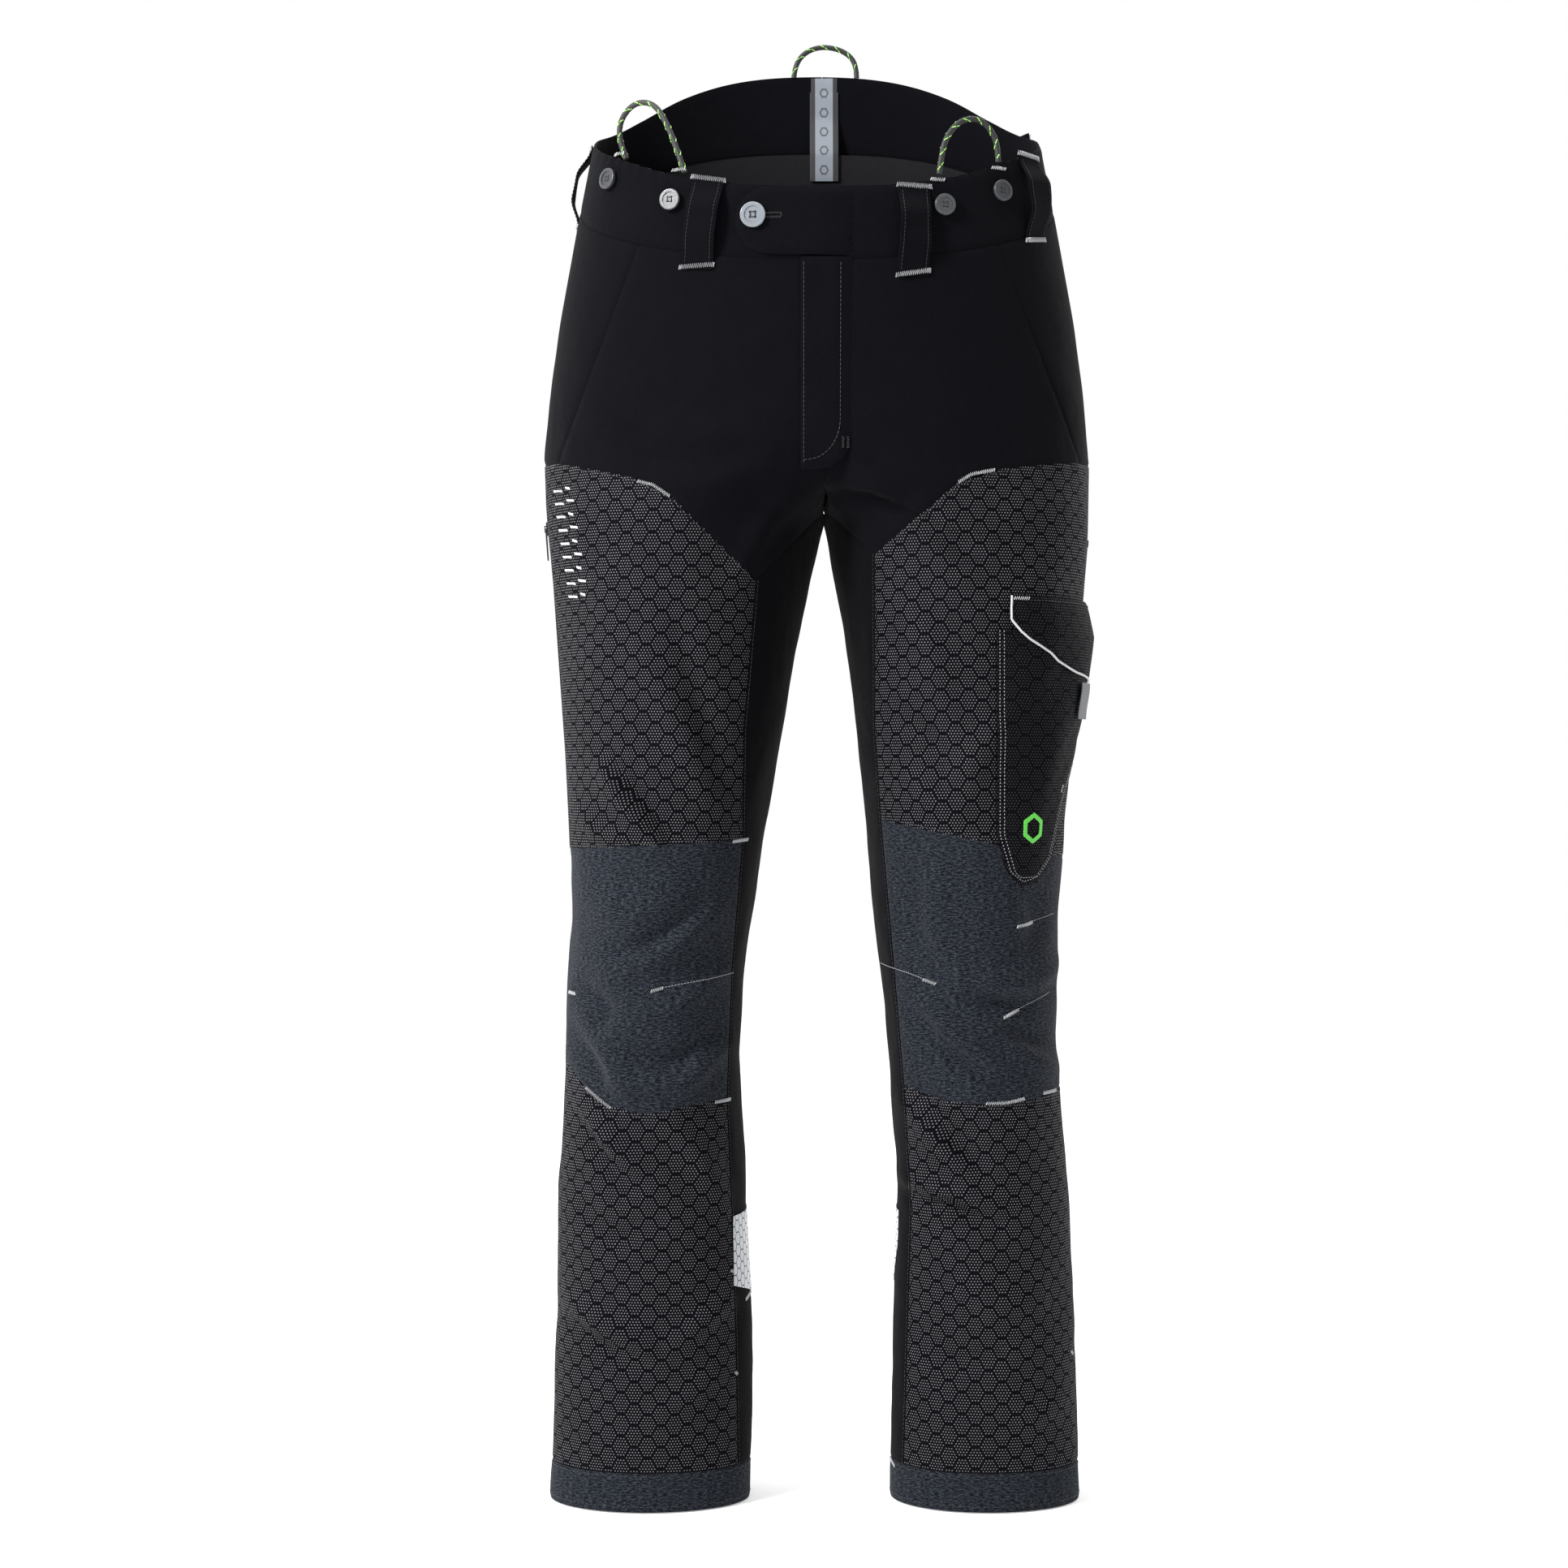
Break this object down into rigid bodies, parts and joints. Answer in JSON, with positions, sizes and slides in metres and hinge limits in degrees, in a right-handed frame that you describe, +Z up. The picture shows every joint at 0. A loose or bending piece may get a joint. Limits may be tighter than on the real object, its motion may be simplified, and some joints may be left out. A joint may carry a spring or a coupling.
{
  "type": "chainsaw trousers",
  "caption": "Chainsaw-protective work trousers with padded fronts, knee panels, vent zips, a cargo pocket, belt loops and brace buttons.",
  "frame": {"origin": "on the floor, midway between the outer edges of the two hems and under the side seams", "axes": "+Z up from the hems to the waist, -Y towards the wearer's front, +X towards the wearer's left"},
  "size_m": [0.4524, 0.2527, 1.224],
  "materials": {
    "softshell": "matt near-black woven softshell",
    "guard_weave": "black ripstop with a printed pattern of light dots in hexagons",
    "melange_cloth": "blue-grey melange stretch cloth",
    "stretch_cloth": "plain black stretch cloth",
    "reflective_print": "silver-white reflective film with fine dark hexagon lines",
    "saw_guard_fibre": "layered loose cut-stopping fibre",
    "lining_cloth": "thin black mesh lining",
    "pocket_bag_cloth": "thin black pocketing",
    "zip_tape": "woven zip tape with a moulded coil",
    "zip_metal": "black enamelled slider",
    "zip_pull": "dark moulded pull",
    "button_pearl": "pale grey glossy four-hole button",
    "button_grey": "dark grey four-hole button",
    "webbing": "grey woven tape",
    "back_tape": "silver tape with dark edges",
    "cord_sheath": "black braided cord with bright green flecks"
  },
  "bodies": {
    "trousers": {"front_panel_right": "softshell", "pocket_facing_right": "softshell", "seat_right": "softshell", "waistband_right": "softshell", "thigh_panel_right": "guard_weave", "shin_panel_right": "guard_weave", "knee_panel_right": "melange_cloth", "hem_band_right": "melange_cloth", "back_leg_right": "stretch_cloth", "calf_patch_right": "reflective_print", "saw_guard_right": "saw_guard_fibre", "lining_right": "lining_cloth", "hand_pocket_right": "pocket_bag_cloth", "vent_zip_right": "zip_tape", "front_panel_left": "softshell", "pocket_facing_left": "softshell", "seat_left": "softshell", "waistband_left": "softshell", "thigh_panel_left": "guard_weave", "shin_panel_left": "guard_weave", "knee_panel_left": "melange_cloth", "hem_band_left": "melange_cloth", "back_leg_left": "stretch_cloth", "calf_patch_left": "reflective_print", "saw_guard_left": "saw_guard_fibre", "lining_left": "lining_cloth", "hand_pocket_left": "pocket_bag_cloth", "vent_zip_left": "zip_tape", "back_yoke": "softshell", "waist_tab": "softshell", "fly_underlap": "softshell", "fly_zip": "zip_tape", "waist_button": "button_pearl", "brace_button_right_side": "button_grey", "brace_button_right_front": "button_grey", "brace_button_left_front": "button_grey", "brace_button_left_side": "button_grey", "brace_button_right_back": "button_grey", "brace_button_left_back": "button_grey", "belt_loop_right_front": "softshell", "belt_loop_left_front": "softshell", "belt_loop_left_side": "softshell", "belt_loop_right_side": "softshell", "belt_loop_left_back": "softshell", "belt_loop_right_back": "softshell", "cargo_pocket": "guard_weave", "centre_back_tape": "back_tape", "cord_loop_right": "cord_sheath", "cord_loop_left": "cord_sheath", "cord_loop_back": "cord_sheath"},
    "fly_placket_body": {"fly_placket": "softshell"},
    "fly_slider_body": {"fly_slider": "zip_metal"},
    "fly_puller_body": {"fly_puller": "zip_pull"},
    "cargo_flap_body": {"cargo_flap": "softshell"},
    "pull_tab_body": {"flap_pull_tab": "webbing"},
    "vent_slider_right_body": {"vent_slider_right": "zip_metal"},
    "vent_puller_right_body": {"vent_puller_right": "zip_pull"},
    "vent_slider_left_body": {"vent_slider_left": "zip_metal"},
    "vent_puller_left_body": {"vent_puller_left": "zip_pull"}
  },
  "joints": [
    {"name": "fly_placket_lift", "type": "hinge", "parent": "trousers", "child": "fly_placket_body", "pos_m": [0.027, -0.1182, 0.91], "axis": [0, 0, 1], "range_deg": [0, 100]},
    {"name": "fly_zip_slide", "type": "slide", "parent": "trousers", "child": "fly_slider_body", "axis": [0, 0, -1], "range_m": [0, 0.105]},
    {"name": "fly_puller_swing", "type": "hinge", "parent": "fly_slider_body", "child": "fly_puller_body", "pos_m": [0.006, -0.114, 0.976], "axis": [-1, 0, 0], "range_deg": [0, 60]},
    {"name": "cargo_flap_lift", "type": "hinge", "parent": "trousers", "child": "cargo_flap_body", "pos_m": [0.19351, -0.07476, 0.73387], "axis": [-0.6541, -0.7564, 0], "range_deg": [0, 100]},
    {"name": "pull_tab_swing", "type": "hinge", "parent": "cargo_flap_body", "child": "pull_tab_body", "pos_m": [0.21762, -0.04131, 0.66702], "axis": [-0.3362, -0.9418, 0], "range_deg": [0, 80]},
    {"name": "vent_zip_slide_right", "type": "slide", "parent": "trousers", "child": "vent_slider_right_body", "axis": [-0.0708, 0, 0.9975], "range_m": [-0.2206, 0.0105]},
    {"name": "vent_puller_swing_right", "type": "hinge", "parent": "vent_slider_right_body", "child": "vent_puller_right_body", "pos_m": [-0.22395, 0.012, 0.79573], "axis": [0, 1, 0], "range_deg": [0, 160]},
    {"name": "vent_zip_slide_left", "type": "slide", "parent": "trousers", "child": "vent_slider_left_body", "axis": [0.0751, 0, 0.9972], "range_m": [-0.2086, 0.0226]},
    {"name": "vent_puller_swing_left", "type": "hinge", "parent": "vent_slider_left_body", "child": "vent_puller_left_body", "pos_m": [0.22367, 0.012, 0.78372], "axis": [0, -1, 0], "range_deg": [0, 160]}
  ],
  "couplings": [
    {"joint": "fly_puller_swing", "follows": "fly_placket_lift", "ratio": 0.6}
  ]
}
